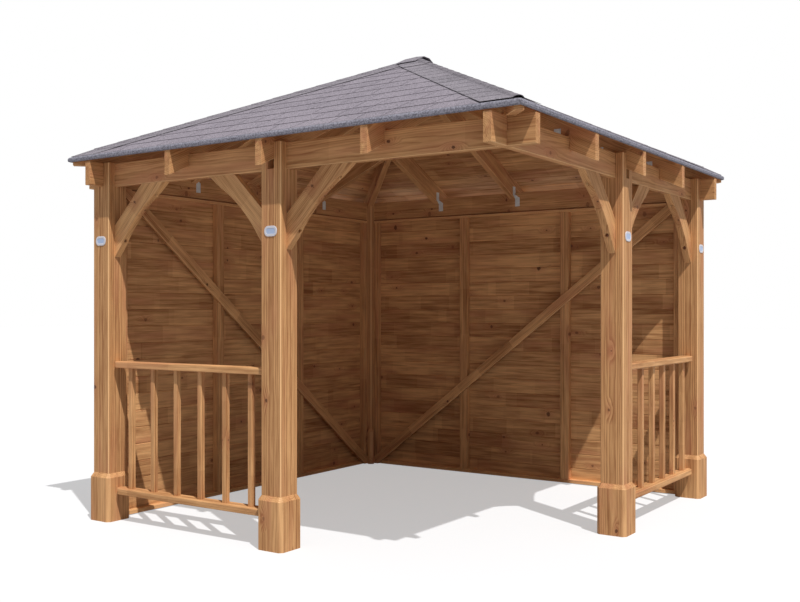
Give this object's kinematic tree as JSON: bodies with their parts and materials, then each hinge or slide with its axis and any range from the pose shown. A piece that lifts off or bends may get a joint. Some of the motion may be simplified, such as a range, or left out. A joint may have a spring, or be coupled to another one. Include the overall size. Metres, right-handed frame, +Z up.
{
  "type": "garden gazebo",
  "caption": "Square timber garden gazebo with a felt-shingled pyramid roof, boarded walls on the left and back, half railings, and an open front right corner.",
  "frame": {"origin": "on the ground, at the middle of the plan", "axes": "+X to the right, +Y to the back, +Z up; the open corner is at +X -Y"},
  "size_m": [3.224, 3.224, 3.0676],
  "materials": {
    "timber": "planed softwood, pressure treated to a warm brown, satin to matt",
    "roof_felt": "bitumen felt shingles with grey mineral granules, matt",
    "clip_steel": "galvanised strap steel, dull",
    "plate": "plain pale plate, satin"
  },
  "bodies": {
    "root": {"front_left_post": "timber", "front_middle_post": "timber", "right_middle_post": "timber", "back_right_post": "timber", "back_left_post": "timber", "post_feet": "timber", "front_beam": "timber", "front_rafters": "timber", "front_roof_boards": "timber", "right_beam": "timber", "right_rafters": "timber", "right_roof_boards": "timber", "back_beam": "timber", "back_rafters": "timber", "back_roof_boards": "timber", "left_beam": "timber", "left_rafters": "timber", "left_roof_boards": "timber", "front_left_hip_rafter": "timber", "front_right_hip_rafter": "timber", "back_right_hip_rafter": "timber", "back_left_hip_rafter": "timber", "apex_boss": "timber", "front_left_brace": "timber", "front_middle_left_brace": "timber", "front_middle_right_brace": "timber", "right_middle_front_brace": "timber", "right_middle_back_brace": "timber", "right_back_brace": "timber", "front_railing": "timber", "right_railing": "timber", "left_wall_frame": "timber", "left_wall_boards": "timber", "left_wall_diagonal": "timber", "back_wall_frame": "timber", "back_wall_boards": "timber", "back_wall_diagonal": "timber", "front_roof_felt": "roof_felt", "right_roof_felt": "roof_felt", "back_roof_felt": "roof_felt", "left_roof_felt": "roof_felt", "hip_caps": "roof_felt", "apex_cap": "roof_felt", "rafter_clips": "clip_steel", "post_plates": "plate"}
  },
  "joints": []
}
